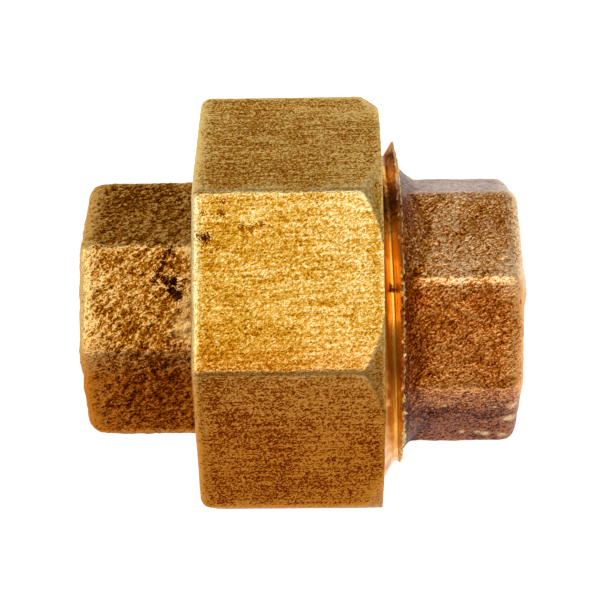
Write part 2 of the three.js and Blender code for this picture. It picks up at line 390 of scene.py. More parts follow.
@dataclass(frozen=True)
class UnionThread:
    """The right-hand thread between the nut and the barrel, in millimetres.

    Attributes:
        pitch: Advance in a turn.
        crest_flat: Width of the barrel's crests.
        root_flat: Width of the sharp groove's floor, which sets the depth.
        root_round: Radius of the barrel's roots.
        nut_root_flat: Width of the nut's roots.
        spill: How far a cutter stands clear of the crests.
        run_out: Degrees from +Y where the barrel's groove leaves through its shoulder.
        steps: Facets in a turn.
    """

    pitch: float = 3.175
    crest_flat: float = 0.33
    root_flat: float = 0.25
    root_round: float = 0.5
    nut_root_flat: float = 0.4
    spill: float = 0.35
    run_out: float = 225.0
    steps: int = 96

    @property
    def depth(self) -> float:
        """Height from root to crest."""
        return (self.pitch - self.crest_flat - self.root_flat) / (2 * FLANK_RUN)

    def start_x(self, through_x: float, before_x: float) -> float:
        """The X, before a limit, at which a groove through through_x at the run-out passes the top."""
        at_top = through_x - self.pitch * (self.run_out - 90) / 360
        return at_top - math.ceil((at_top - before_x) / self.pitch) * self.pitch

    def outside_groove(
        self, root: float, crest: float, through_x: float, span: tuple[float, float]
    ) -> bpy.types.Object:
        """A cutter for the barrel's groove, round at its root, that opens outward.

        Args:
            root: Radius of the bottom of the groove.
            crest: Radius of the barrel.
            through_x: X at which the groove's middle meets the run-out angle.
            span: X from which and to which it has to cut.

        Returns:
            The cutter.
        """
        x = self.start_x(through_x, span[0])
        middle = (x, root + self.root_round)
        bottom = arc(middle, self.root_round, 180 + THREAD_FLANK, 360 - THREAD_FLANK, 7)
        edge_x, edge_r = bottom[-1]
        half = edge_x - x + (crest - edge_r) * FLANK_RUN
        spill = crest + self.spill
        section = [*bottom, (x + half, crest), (x + half, spill), (x - half, spill), (x - half, crest)]
        turns = math.ceil((span[1] - x) / self.pitch)
        return helical("barrel_thread_tool", section, self.pitch, turns, self.steps)

    def inside_groove(
        self, root: float, crest: float, through_x: float, span: tuple[float, float]
    ) -> bpy.types.Object:
        """A cutter for the nut's groove, which opens inward.

        Args:
            root: Radius of the bottom of the groove.
            crest: Radius of the nut's bore.
            through_x: X at which the barrel's groove meets the run-out angle.
            span: X from which and to which it has to cut.

        Returns:
            The cutter.
        """
        x = self.start_x(through_x, span[0])
        floor = self.nut_root_flat / 2
        half = floor + (root - crest) * FLANK_RUN
        spill = crest - self.spill
        section = [(x + floor, root), (x + half, crest), (x + half, spill)]
        section += [(2 * x - px, radius) for px, radius in reversed(section)]
        turns = math.ceil((span[1] - x) / self.pitch)
        return helical("nut_thread_tool", section, self.pitch, turns, self.steps)


@dataclass(frozen=True)
class PipeThread:
    """The half-inch taper pipe thread that both end pieces are tapped with, in millimetres.

    Attributes:
        pitch: Advance in a turn, 14 turns to the inch.
        mouth_pitch_radius: Radius half way up the thread at the mouth.
        depth: Height from root to crest.
        taper: What the radius loses for each unit of depth.
        socket: Depth of the socket.
        mouth_bevel: Width of the bevel at the mouth.
        crest_flat: Width of the crests.
        spill: How far the cutter stands clear of the crests.
        steps: Facets in a turn.
    """

    pitch: float = 25.4 / 14
    mouth_pitch_radius: float = 9.886
    depth: float = 1.451
    taper: float = 1 / 32
    socket: float = 13.5
    mouth_bevel: float = 0.7
    crest_flat: float = 0.1
    spill: float = 0.3
    steps: int = 72

    @property
    def crest(self) -> float:
        """Radius inside the crests at the mouth."""
        return self.mouth_pitch_radius - self.depth / 2

    @property
    def root(self) -> float:
        """Radius to the roots at the mouth."""
        return self.mouth_pitch_radius + self.depth / 2

    def tap(self, piece: bpy.types.Object, face_x: float, inward: int) -> None:
        """Bores and taps a socket.

        Args:
            piece: The piece to cut.
            face_x: X of the face that the socket opens in.
            inward: 1 where the socket runs along +X from its face, and -1 where it runs along -X.
        """
        past_x = face_x - inward
        deep_x = face_x + self.socket * inward
        wide = self.root + self.mouth_bevel
        bevel_x = face_x + (wide - self.crest) * inward
        bore = turned(
            "socket_bore_tool",
            [(past_x, 0), (past_x, wide + 1), (bevel_x, self.crest), (deep_x, self.crest), (deep_x, 0)],
            self.steps,
        )
        floor = self.pitch / 2 - self.crest_flat / 2 - self.depth * FLANK_RUN
        half = floor + self.depth * FLANK_RUN
        x = min(face_x, deep_x) - self.pitch * inward
        section = [(x + floor, self.root), (x + half, self.crest), (x + half, self.crest - self.spill)]
        section += [(2 * x - px, radius) for px, radius in reversed(section)]
        turns = int(self.socket / self.pitch)
        groove = helical("pipe_thread_tool", section, self.pitch, turns, self.steps)
        for tool in (bore, groove):
            self.draw_in(tool, face_x, inward)
            machine(piece, tool, Cut.AWAY)

    def draw_in(self, tool: bpy.types.Object, face_x: float, inward: int) -> None:
        """Gives a tool the thread's taper, by moving its points towards X with depth.

        Args:
            tool: The cutter to taper.
            face_x: X of the face that the socket opens in.
            inward: 1 where the socket runs along +X from its face, and -1 where it runs along -X.
        """
        for vertex in tool.data.vertices:
            radius = math.hypot(vertex.co.y, vertex.co.z)
            if radius > MM:
                depth = (vertex.co.x - face_x * MM) * inward
                shrink = 1 - depth * self.taper / radius
                vertex.co.y *= shrink
                vertex.co.z *= shrink


# ---- Cast skin ----

STILL_LEVEL = 0.62  # the level of a bump pattern that moves nothing: over a half, so most of it goes inward


@dataclass(frozen=True)
class Grain:
    """One size of bump that the sand mould leaves.

    Attributes:
        pattern: The texture's type, such as "CLOUDS".
        size: Typical width of a bump, in millimetres.
        height: From the lowest hollow to the highest bump, in millimetres.
        stretch: How much longer the bumps are along the grain than across it.
        tilt: Degrees about Z from X to the grain.
        shift: A place in the pattern, in millimetres, so that no two pieces look alike.
    """

    pattern: str
    size: float
    height: float
    stretch: float = 1.0
    tilt: float = 0.0
    shift: float = 0.0

    def press(self, casting: bpy.types.Object) -> None:
        """Moves the casting's skin by this grain, mostly inward."""
        texture = bpy.data.textures.new(f"{casting.name}_grain", self.pattern)
        texture.noise_scale = self.size * MM
        if self.pattern == "CLOUDS":
            texture.noise_basis = "IMPROVED_PERLIN"
            texture.noise_depth = 1
        guide = bpy.data.objects.new("grain_guide", None)
        bpy.context.scene.collection.objects.link(guide)
        guide.rotation_euler = (0, 0, math.radians(self.tilt))
        guide.scale = (self.stretch, 1, 1)
        guide.location = (self.shift * MM, -2 * self.shift * MM, 3 * self.shift * MM)
        bpy.context.view_layer.update()
        finish_with(
            casting,
            "DISPLACE",
            texture=texture,
            texture_coords="OBJECT",
            texture_coords_object=guide,
            strength=self.height * MM,
            mid_level=STILL_LEVEL,
        )
        discard(guide)
        bpy.data.textures.remove(texture)


@dataclass(frozen=True)
class Crevice:
    """A ragged crevice that gas left in the casting.

    Attributes:
        path: X, Y and Z of the points that it runs through, in millimetres.
        radius: Half its width, in millimetres.
        step: Distance between the hollows that it is made of, in millimetres.
        stray: How far a hollow lies off the path, as a share of the radius.
        spread: The least and the greatest hollow, as shares of the radius.
    """

    path: tuple[tuple[float, float, float], ...]
    radius: float
    step: float = 0.4
    stray: float = 0.6
    spread: tuple[float, float] = (0.45, 1.15)

    def hollows(self) -> list[tuple[Vector, float]]:
        """Places and radii of its hollows, in millimetres."""
        rng = random.Random(len(self.path))
        found = []
        for start, end in zip(map(Vector, self.path), map(Vector, self.path[1:])):
            count = max(1, round((end - start).length / self.step))
            for i in range(count):
                stray = Vector((rng.uniform(-1, 1), rng.uniform(-1, 1), 0)) * self.radius * self.stray
                found.append((start.lerp(end, i / count) + stray, self.radius * rng.uniform(*self.spread)))
        return found

    def sink(self, casting: bpy.types.Object) -> None:
        """Cuts the crevice."""
        for place, radius in self.hollows():
            deselect_all()
            bpy.ops.mesh.primitive_ico_sphere_add(subdivisions=2, radius=radius * MM, location=place * MM)
            hollow = named("crevice_tool")
            settle(hollow)
            machine(casting, hollow, Cut.AWAY)


def cast_skin(
    blank: bpy.types.Object, voxel: float, grains: Iterable[Grain], crevices: Iterable[Crevice] = ()
) -> None:
    """Gives a sharp blank the soft edges, pits and bumps of a sand casting.

    Args:
        blank: The shape to cast.
        voxel: Size of the new mesh's faces, in millimetres.
        grains: The bumps, from coarse to fine.
        crevices: The crevices left by gas.
    """
    for crevice in crevices:
        crevice.sink(blank)
    finish_with(blank, "REMESH", mode="VOXEL", voxel_size=voxel * MM, adaptivity=0)
    finish_with(blank, "SMOOTH", factor=0.5, iterations=2)
    for grain in grains:
        grain.press(blank)


def store_relief(obj: bpy.types.Object, rounds: int = 8) -> None:
    """Stores how far each point stands out of the skin round it, in millimetres, as "relief".

    Args:
        obj: The finished piece.
        rounds: How often the skin is smoothed to find its mean level.
    """
    mesh = obj.data
    count = len(mesh.vertices)
    points = np.empty(count * 3)
    normals = np.empty(count * 3)
    ends = np.empty(len(mesh.edges) * 2, dtype=np.int64)
    mesh.vertices.foreach_get("co", points)
    mesh.vertices.foreach_get("normal", normals)
    mesh.edges.foreach_get("vertices", ends)
    points = points.reshape(-1, 3) / MM
    level = points.copy()
    one, other = ends.reshape(-1, 2).T
    links = np.bincount(np.concatenate([one, other]), minlength=count)[:, None]
    for _ in range(rounds):
        total = np.zeros_like(level)
        for axis in range(3):
            total[:, axis] = np.bincount(one, level[other, axis], count)
            total[:, axis] += np.bincount(other, level[one, axis], count)
        level = 0.5 * level + 0.5 * total / links
    relief = ((points - level) * normals.reshape(-1, 3)).sum(axis=1)
    layer = mesh.attributes.new("relief", "FLOAT", "POINT")
    layer.data.foreach_set("value", relief.astype(np.float32))


# ---- Finishes ----


def linear(code: str) -> tuple[float, float, float, float]:
    """Turns an sRGB hex code to a linear colour.

    Args:
        code: The hex code, such as "#C08040".

    Returns:
        Red, green, blue and a full alpha.
    """
    parts = [int(code[i : i + 2], 16) / 255 for i in (1, 3, 5)]
    values = [c / 12.92 if c <= 0.04045 else ((c + 0.055) / 1.055) ** 2.4 for c in parts]
    return (values[0], values[1], values[2], 1.0)


def add(tree: Tree, kind: str, inputs: dict | None = None, **settings: object) -> bpy.types.Node:
    """Adds a node.

    Args:
        tree: The material's node tree.
        kind: The node's type, without "ShaderNode".
        inputs: Values or output sockets by input name or number.
        settings: The node's properties by name.

    Returns:
        The node.
    """
    node = tree.nodes.new("ShaderNode" + kind)
    for key, value in settings.items():
        setattr(node, key, value)
    for key, value in (inputs or {}).items():
        socket = node.inputs[key]
        if isinstance(value, Socket):
            tree.links.new(value, socket)
        else:
            socket.default_value = value
    return node


def start_material(name: str) -> tuple[bpy.types.Material, Tree]:
    """An empty material that uses nodes, and its tree."""
    material = bpy.data.materials.new(name)
    material.use_nodes = True
    material.node_tree.nodes.clear()
    return material, material.node_tree


def blend_colours(
    tree: Tree, amount: Amount, low: Socket | tuple, high: Socket | tuple, mode: str = "MIX"
) -> Socket:
    """Mixes two colours by an amount.

    Args:
        tree: The material's node tree.
        amount: How much of the second colour shows, from 0 to 1.
        low: The first colour.
        high: The second colour.
        mode: How they blend, such as "MULTIPLY".

    Returns:
        The mixed colour's socket.
    """
    node = add(tree, "Mix", {0: amount, 6: low, 7: high}, data_type="RGBA", blend_type=mode)
    return node.outputs[2]


def stretch_range(
    tree: Tree, value: Amount, low: float, high: float, to_low: Amount = 0, to_high: Amount = 1
) -> Socket:
    """Maps a value from one range to another, and clamps it.

    Args:
        tree: The material's node tree.
        value: The value to map.
        low: Where the first range starts.
        high: Where the first range ends.
        to_low: The result at low.
        to_high: The result at high.

    Returns:
        The result's socket.
    """
    sockets = {"Value": value, "From Min": low, "From Max": high, "To Min": to_low, "To Max": to_high}
    return add(tree, "MapRange", sockets).outputs["Result"]


def speckle(
    tree: Tree,
    coords: Socket,
    size: float,
    detail: float = 2.0,
    roughness: float = 0.5,
    distortion: float = 0.0,
) -> Socket:
    """A pattern of soft spots, about one half.

    Args:
        tree: The material's node tree.
        coords: Object coordinates.
        size: Width of a spot, in millimetres.
        detail: How many times finer spots are laid over it.
        roughness: How strong those are.
        distortion: How much the spots are pulled out of shape.

    Returns:
        The pattern's socket.
    """
    sockets = {
        "Vector": coords,
        "Scale": 1 / (size * MM),
        "Detail": detail,
        "Roughness": roughness,
        "Distortion": distortion,
    }
    return add(tree, "TexNoise", sockets).outputs["Fac"]


def weigh(tree: Tree, middle: float, terms: Iterable[tuple[Socket, float]]) -> Socket:
    """Adds up patterns that vary about one half.

    Args:
        tree: The material's node tree.
        middle: The result where every pattern is at one half.
        terms: Each pattern and its weight.

    Returns:
        The sum's socket.
    """
    terms = list(terms)
    total = middle - 0.5 * sum(weight for _, weight in terms)
    for value, weight in terms:
        total = add(tree, "Math", {0: value, 1: weight, 2: total}, operation="MULTIPLY_ADD").outputs[0]
    return total


def follow(tree: Tree, value: Socket, points: Sequence[tuple[float, float]]) -> Amount:
    """Turns a place to an amount, by straight lines between points.

    Args:
        tree: The material's node tree.
        value: The place, in metres.
        points: Places in millimetres, in rising order, and the amount at each.

    Returns:
        The amount's socket, or the amount itself where it is the same all over.
    """
    total = points[0][1]
    if all(amount == total for _, amount in points):
        return total
    for (start, before), (end, after) in zip(points, points[1:]):
        step = stretch_range(tree, value, start * MM, end * MM, 0, after - before)
        total = add(tree, "Math", {0: step, 1: total}, operation="ADD").outputs[0]
    return total


def ramp(tree: Tree, amount: Amount, stops: Sequence[tuple[float, str]]) -> Socket:
    """Colours an amount.

    Args:
        tree: The material's node tree.
        amount: From 0 to 1.
        stops: Amounts in rising order, and the sRGB hex code at each.

    Returns:
        The colour's socket.
    """
    node = add(tree, "ValToRGB", {"Fac": amount})
    elements = node.color_ramp.elements
    while len(elements) < len(stops):
        elements.new(0.5)
    for element, (place, code) in zip(elements, stops):
        element.position = place
        element.color = linear(code)
    return node.outputs["Color"]


def grain_coords(tree: Tree, coords: Socket, stretch: float, tilt: float) -> Socket:
    """Coordinates that draw a pattern out along a grain.

    Args:
        tree: The material's node tree.
        coords: Object coordinates.
        stretch: How much longer the marks are along the grain than across it.
        tilt: Degrees about Z from X to the grain.

    Returns:
        The coordinates' socket.
    """
    sockets = {"Vector": coords, "Rotation": (0, 0, -math.radians(tilt)), "Scale": (1, 1, 1)}
    turned_coords = add(tree, "Mapping", sockets).outputs["Vector"]
    return add(tree, "Mapping", {"Vector": turned_coords, "Scale": (1 / stretch, 1, 1)}).outputs["Vector"]


@dataclass(frozen=True)
class Stain:
    """A spot on the skin where another colour shows.

    Attributes:
        place: X, Y and Z of its middle, in millimetres.
        size: Its radius, in millimetres.
        strength: How much of the other colour shows, from 0 to 1.
    """

    place: tuple[float, float, float]
    size: float
    strength: float


def stain_mask(tree: Tree, coords: Socket, ragged_by: Socket, stains: Iterable[Stain]) -> Amount:
    """Where the stains lie, with ragged edges.

    Args:
        tree: The material's node tree.
        coords: Object coordinates.
        ragged_by: A fine pattern that frays their edges.
        stains: The spots.

    Returns:
        The mask's socket, or 0 where there are no stains.
    """
    mask = 0.0
    for stain in stains:
        place = tuple(c * MM for c in stain.place)
        away = add(tree, "VectorMath", {0: coords, 1: place}, operation="DISTANCE").outputs["Value"]
        fray = 0.6 * stain.size * MM
        ragged = stretch_range(tree, ragged_by, 0.3, 0.7, -fray, fray)
        edge = add(tree, "Math", {0: away, 1: ragged}, operation="ADD").outputs[0]
        spot = stretch_range(tree, edge, 0.4 * stain.size * MM, stain.size * MM, stain.strength, 0)
        if mask == 0.0:
            mask = spot
        else:
            mask = add(tree, "Math", {0: mask, 1: spot}, operation="MAXIMUM").outputs[0]
    return mask


@dataclass(frozen=True)
class Tones:
    """The colours of a cast skin, from its deepest hollows to its most rubbed bumps."""

    hollow: str
    dull: str
    body: str
    rubbed: str

    def stops(self) -> list[tuple[float, str]]:
        """Where each colour stands on a scale from 0 to 1."""
        return [(0.05, self.hollow), (0.36, self.dull), (0.6, self.body), (0.95, self.rubbed)]


PATCH_SIZE = 5.0  # millimetres across the wide dull and bright patches
FINE_SHARE = 0.55  # width of the finest marks, as a share of the grain's
FINE_CONTRAST = 0.8  # their contrast, as a share of the grain's
STREAK_SHARE = 1.1  # width of the long marks, as a share of the grain's
STAIN_DEPTH = 0.9  # how far down the scale of tones a full stain takes the skin
OXIDE_ROUGHNESS = 0.4


@dataclass(frozen=True)
class SandCastBrass:
    """Sand-cast brass, tumbled and left to dull.

    The mould's grain shows as bright rubbed bumps and brown hollows. Sand grains of 0.2 to 0.5 mm are drawn
    at their real size. Where the piece has kept its oxide, that lies over them as a thin clear film.

    Attributes:
        name: The material's name.
        tones: Its colours.
        grain_size: Width of the sand's marks, in millimetres.
        grain_stretch: How much longer they are along the grain than across it.
        grain_tilt: Degrees about Z from X to the grain.
        speckle: Contrast of the sand's marks.
        streak: Contrast of the long marks along the grain.
        streak_stretch: How much longer those are than they are wide.
        streak_tilt: Degrees about Z from X to those.
        bump_height: Depth of the marks that are too fine for the mesh, in millimetres.
        patches: Contrast of the wide dull and bright patches.
        roughness: The least and the most.
        relief_range: Height of bump that is rubbed bright, in millimetres.
        relief_weight: How much the bumps and hollows of the mesh itself count.
        oxide: The clear oxide film across the piece: Y in millimetres, and its weight.
        painted_light_along_x: Painted highlight and shade along X, which lighten rounded ends and darken the
            skin beside the thread piece's shoulder: X in millimetres, and how much.
        painted_side_contrast: How strongly the marks show across the piece, raised on the side faces as
            painted light and shade of their bumps: Y in millimetres, and how much.
        painted_side_shade: Painted shade by side across the piece: Y in millimetres, and the colour that dims
            the skin there.
        stains: Dark spots.
        chips_and_glints: Bright spots: painted glints, and chip marks and rubbed spots.
        tarnish: The colour at their darkest.
        edge: The tint of the metal where it is seen nearly edge on.
    """

    name: str
    tones: Tones
    grain_size: float
    grain_stretch: float
    grain_tilt: float
    speckle: float
    streak: float
    streak_stretch: float
    streak_tilt: float
    bump_height: float
    patches: float
    roughness: tuple[float, float] = (0.34, 0.52)
    relief_range: float = 0.05
    relief_weight: float = 0.55
    oxide: tuple[tuple[float, float], ...] = ((0.0, 0.0),)
    painted_light_along_x: tuple[tuple[float, float], ...] = ((0.0, 0.0),)
    painted_side_contrast: tuple[tuple[float, float], ...] = ((0.0, 1.0),)
    painted_side_shade: tuple[tuple[float, str], ...] = ((-1.0, "#FFFFFF"), (1.0, "#FFFFFF"))
    stains: tuple[Stain, ...] = ()
    chips_and_glints: tuple[Stain, ...] = ()
    tarnish: str = "#2A1206"
    edge: str = "#F8E8C8"

    def build(self) -> bpy.types.Material:
        """Makes the material."""
        material, tree = start_material(self.name)
        coords = add(tree, "TexCoord").outputs["Object"]
        place = add(tree, "SeparateXYZ", {0: coords}).outputs
        marks = self.draw_marks(tree, coords)
        stained = stain_mask(tree, coords, marks["fine"], self.stains)
        clean = self.clean_tone(tree, marks, place["X"], place["Y"])
        tone = add(tree, "Math", {0: stained, 1: -STAIN_DEPTH, 2: clean}, operation="MULTIPLY_ADD").outputs[0]
        colours = ramp(tree, tone, self.tones.stops())
        # Painted shade: the skin is dimmed side by side along Y.
        skin = blend_colours(tree, 1.0, colours, self.tint(tree, place["Y"]), "MULTIPLY")
        # Bright spots, painted glints among them, take the most rubbed tone.
        chip_and_glint_mask = stain_mask(tree, coords, marks["fine"], self.chips_and_glints)
        rubbed = blend_colours(tree, chip_and_glint_mask, skin, linear(self.tones.rubbed))
        tarnished = stretch_range(tree, stained, 0.5, 1.0)
        bright, dull = self.roughness
        sockets = {
            "Base Color": blend_colours(tree, tarnished, rubbed, linear(self.tarnish)),
            "Metallic": 1.0,
            "Roughness": stretch_range(tree, tone, 0.2, 0.9, dull, bright),
            "Normal": self.raise_marks(tree, marks),
            "Specular Tint": linear(self.edge),
            "Coat Weight": follow(tree, place["Y"], self.oxide),
            "Coat Roughness": OXIDE_ROUGHNESS,
        }
        shader = add(tree, "BsdfPrincipled", sockets)
        add(tree, "OutputMaterial", {"Surface": shader.outputs["BSDF"]})
        return material

    def draw_marks(self, tree: Tree, coords: Socket) -> dict[str, Socket]:
        """Draws the patterns that the skin is made of.

        Args:
            tree: The material's node tree.
            coords: Object coordinates.

        Returns:
            Each pattern's socket by its name.
        """
        along = grain_coords(tree, coords, self.grain_stretch, self.grain_tilt)
        drawn = grain_coords(tree, coords, self.streak_stretch, self.streak_tilt)
        relief = add(tree, "Attribute", attribute_name="relief").outputs["Fac"]
        return {
            "worn": stretch_range(tree, relief, -self.relief_range, self.relief_range),
            "patches": speckle(tree, coords, PATCH_SIZE, detail=3, distortion=0.6),
            "grain": speckle(tree, along, self.grain_size, detail=2, roughness=0.6),
            "fine": speckle(tree, along, self.grain_size * FINE_SHARE, detail=1),
            "streaks": speckle(tree, drawn, self.grain_size * STREAK_SHARE, detail=2),
        }

    def clean_tone(self, tree: Tree, marks: dict[str, Socket], x: Socket, y: Socket) -> Socket:
        """Where each spot stands on the scale of tones, stains apart.

        Args:
            tree: The material's node tree.
            marks: The patterns by name.
            x: Place along X, in metres.
            y: Place along Y, in metres.

        Returns:
            The tone's socket.
        """
        terms = (
            (marks["grain"], self.speckle),
            (marks["fine"], self.speckle * FINE_CONTRAST),
            (marks["streaks"], self.streak),
            (marks["patches"], self.patches),
            (marks["worn"], self.relief_weight),
        )
        level = weigh(tree, 0.0, terms)
        # Painted highlight and shade along X move the middle of the tones.
        middle = add(tree, "Math", {0: follow(tree, x, self.painted_light_along_x), 1: 0.5}, operation="ADD").outputs[0]
        # The marks are drawn stronger on the side faces, as painted light and shade of their bumps.
        painted_side_contrast = follow(tree, y, self.painted_side_contrast)
        return add(tree, "Math", {0: level, 1: painted_side_contrast, 2: middle}, operation="MULTIPLY_ADD").outputs[0]

    def raise_marks(self, tree: Tree, marks: dict[str, Socket]) -> Socket:
        """Raises the marks that are too fine for the mesh.

        Args:
            tree: The material's node tree.
            marks: The patterns by name.

        Returns:
            The bumped normal's socket.
        """
        streaks = (marks["streaks"], self.streak / self.speckle)
        terms = ((marks["grain"], 1.0), (marks["fine"], 0.5), streaks)
        sockets = {"Height": weigh(tree, 0.5, terms), "Distance": self.bump_height * MM, "Strength": 1.0}
        return add(tree, "Bump", sockets).outputs["Normal"]

    def tint(self, tree: Tree, y: Socket) -> Socket:
        """The painted shade that dims each side of the skin.

        Args:
            tree: The material's node tree.
            y: Place along Y, in metres.

        Returns:
            The colour's socket.
        """
        low, high = self.painted_side_shade[0][0], self.painted_side_shade[-1][0]
        across = stretch_range(tree, y, low * MM, high * MM)
        return ramp(tree, across, [((at - low) / (high - low), code) for at, code in self.painted_side_shade])


@dataclass(frozen=True)
class CutBrass:
    """Brass as the lathe and the tap left it: bright orange-gold, with fine tool lines round X.

    A painted dark reflection lies brown over the far side of the thread, and dark specks lie in its groove.
    The burr past the shoulder is torn, so it is rougher, and it is painted pale as a highlight.

    Attributes:
        name: The material's name.
        bright: The metal's colour.
        shade: Its colour in the duller patches.
        tool_line: Distance between the tool's lines, in millimetres.
        roughness: The least and the most.
        bump_height: Depth of the tool's lines, in millimetres.
        tarnish: The colour of the painted dark reflection and of the specks.
        painted_burr_highlight: The pale colour painted on the torn metal as a highlight.
        torn_from: Least X and least distance from the centreline of the torn metal, in millimetres.
        torn_fade: Width over which the torn metal begins, in millimetres.
        torn_roughness: How rough the torn metal is.
        patch_size: Width of the duller patches, in millimetres.
        stain_fray: Width of the spots that fray the edges of the painted dark reflection and the specks, in
            millimetres.
        stains: Where the painted dark reflection and the specks lie.
    """

    name: str = "machined_brass"
    bright: str = "#F6B850"
    shade: str = "#CE831C"
    tool_line: float = 0.12
    roughness: tuple[float, float] = (0.2, 0.38)
    bump_height: float = 0.006
    tarnish: str = "#571A05"
    painted_burr_highlight: str = "#FFE8A4"
    torn_from: tuple[float, float] = (11.1, 16.5)
    torn_fade: float = 0.15
    torn_roughness: float = 0.5
    patch_size: float = 2.5
    stain_fray: float = 0.5
    stains: tuple[Stain, ...] = ()

    def build(self) -> bpy.types.Material:
        """Makes the material."""
        material, tree = start_material(self.name)
        coords = add(tree, "TexCoord").outputs["Object"]
        parts = add(tree, "SeparateXYZ", {0: coords}).outputs
        radius = self.radius(tree, parts["Y"], parts["Z"])
        patches = speckle(tree, coords, self.patch_size, detail=3, distortion=0.5)
        shaded = stretch_range(tree, patches, 0.35, 0.7)
        gold = blend_colours(tree, shaded, linear(self.bright), linear(self.shade))
        # The painted dark reflection and the specks darken the gold.
        stained = stain_mask(tree, coords, speckle(tree, coords, self.stain_fray, detail=3), self.stains)
        tarnished = blend_colours(tree, stained, gold, linear(self.tarnish))
        torn = self.torn(tree, parts["X"], radius)
        polish = stretch_range(tree, patches, 0.3, 0.7, *self.roughness)
        lathe = add(tree, "CombineXYZ", {0: parts["X"], 1: radius, 2: 0.0}).outputs[0]
        lines = speckle(tree, lathe, self.tool_line, detail=2)
        bump = add(tree, "Bump", {"Height": lines, "Distance": self.bump_height * MM, "Strength": 1.0})
        sockets = {
            # The torn burr is painted pale as a highlight, and made rougher.
            "Base Color": blend_colours(tree, torn, tarnished, linear(self.painted_burr_highlight)),
            "Metallic": 1.0,
            "Roughness": stretch_range(tree, torn, 0.0, 1.0, polish, self.torn_roughness),
            "Normal": bump.outputs["Normal"],
        }
        shader = add(tree, "BsdfPrincipled", sockets)
        add(tree, "OutputMaterial", {"Surface": shader.outputs["BSDF"]})
        return material

    def radius(self, tree: Tree, y: Socket, z: Socket) -> Socket:
        """The distance from the centreline.

        Args:
            tree: The material's node tree.
            y: Place along Y, in metres.
            z: Place along Z, in metres.

        Returns:
            The distance's socket, in metres.
        """
        squares = [add(tree, "Math", {0: part, 1: 2.0}, operation="POWER").outputs[0] for part in (y, z)]
        total = add(tree, "Math", {0: squares[0], 1: squares[1]}, operation="ADD").outputs[0]
        return add(tree, "Math", {0: total, 1: 0.5}, operation="POWER").outputs[0]

    def torn(self, tree: Tree, x: Socket, radius: Socket) -> Socket:
        """Where the metal is torn: past the shoulder and outside the flare.

        Args:
            tree: The material's node tree.
            x: Place along X, in metres.
            radius: Distance from the centreline, in metres.

        Returns:
            The mask's socket.
        """
        places = zip((x, radius), self.torn_from)
        past = [stretch_range(tree, at, edge * MM, (edge + self.torn_fade) * MM) for at, edge in places]
        return add(tree, "Math", {0: past[0], 1: past[1]}, operation="MULTIPLY").outputs[0]


# ---- The pieces ----


def bounds_mm(node: str) -> tuple[Vector, Vector]:
    """A frame node's lowest and highest corners, in millimetres."""
    low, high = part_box(node)
    return Vector(low) / MM, Vector(high) / MM


def reach(place: Vector) -> tuple[float, float]:
    """X and radius of a point, in millimetres."""
    return place.x / MM, math.hypot(place.y, place.z) / MM


@dataclass
class UnionSizes:
    """Sizes that mating pieces share, in millimetres, read from the frame or set here.

    Attributes:
        thread: The thread between the nut and the barrel.
        pipe: The thread in both sockets.
        shoulder_show: How far the barrel's shoulder stands out of the nut.
        tail_flats: The tail piece's size across its flats.
        thread_piece_flats: The thread piece's size across its flats.
        tail_turn: Degrees about X by which the tail piece's flats are turned from the nut's.
        thread_piece_turn: The same for the thread piece.
        lip_clearance: Room between the tail's corners and the nut's lip.
        waterway: Radius of the bore.
        gap: Room between pieces that bear on each other.
        nose_root: Radius of the ball where it meets the collar.
        nose_tip_wall: Thickness of the ball's rim round the bore.
        nose_length: How far the ball stands out of the collar.
        cut_edge: How far past a tool's radius the surface counts as cut.
    """

    thread: UnionThread = field(default_factory=UnionThread)
    pipe: PipeThread = field(default_factory=PipeThread)
    shoulder_show: float = 2.15
    tail_flats: float = 29.0
    thread_piece_flats: float = 29.4
    tail_turn: float = 2.1
    thread_piece_turn: float = 18.8
    lip_clearance: float = 0.5
    waterway: float = 8.0
    gap: float = 0.3
    nose_root: float = 12.6
    nose_tip_wall: float = 1.2
    nose_length: float = 4.5
    cut_edge: float = 0.05

    def __post_init__(self) -> None:
        """Reads the faces that pieces meet at from the frame."""
        nut_low, nut_high = bounds_mm("union_nut")
        tail_low, tail_high = bounds_mm("tail_piece")
        barrel_low, barrel_high = bounds_mm("thread_piece")
        self.lip_x, self.mouth_x = nut_low.x, nut_high.x
        self.nut_flats = nut_high.z - nut_low.z
        self.tail_end_x, self.nose_tip_x = tail_low.x, tail_high.x
        self.collar = tail_high.z
        self.barrel_face_x, self.thread_end_x = barrel_low.x, barrel_high.x
        self.barrel = barrel_high.z
        self.barrel_root = self.barrel - self.thread.depth
        self.nut_crest = self.barrel_root + self.gap
        self.nut_root = self.barrel + self.gap
        self.shoulder_x = self.mouth_x + self.shoulder_show
        self.lip_hole = self.tail_flats / 2 / math.cos(math.pi / FLATS) + self.lip_clearance
        self.collar_front_x = self.nose_tip_x - self.nose_length

    @property
    def ball(self) -> tuple[float, float]:
        """X of the ball's centre, and its radius."""
        tip = self.waterway + self.nose_tip_wall
        rise = self.nose_root**2 - tip**2
        centre = (self.collar_front_x + self.nose_tip_x) / 2 - rise / (2 * self.nose_length)
        return centre, math.hypot(self.nose_root, self.collar_front_x - centre)

    def in_bore(self, radius: float) -> bool:
        """Whether a radius lies within the sockets' mouths."""
        return radius < self.pipe.root + self.pipe.mouth_bevel + self.cut_edge

    def bore_waterway(self, piece: bpy.types.Object, span: tuple[float, float]) -> None:
        """Bores the waterway through a piece.

        Args:
            piece: The piece to bore.
            span: X of the bore's two ends, in millimetres.
        """
        outline = [(span[1], 0), (span[1], self.waterway), (span[0], self.waterway), (span[0], 0)]
        machine(piece, turned("waterway_tool", outline, 96), Cut.AWAY)


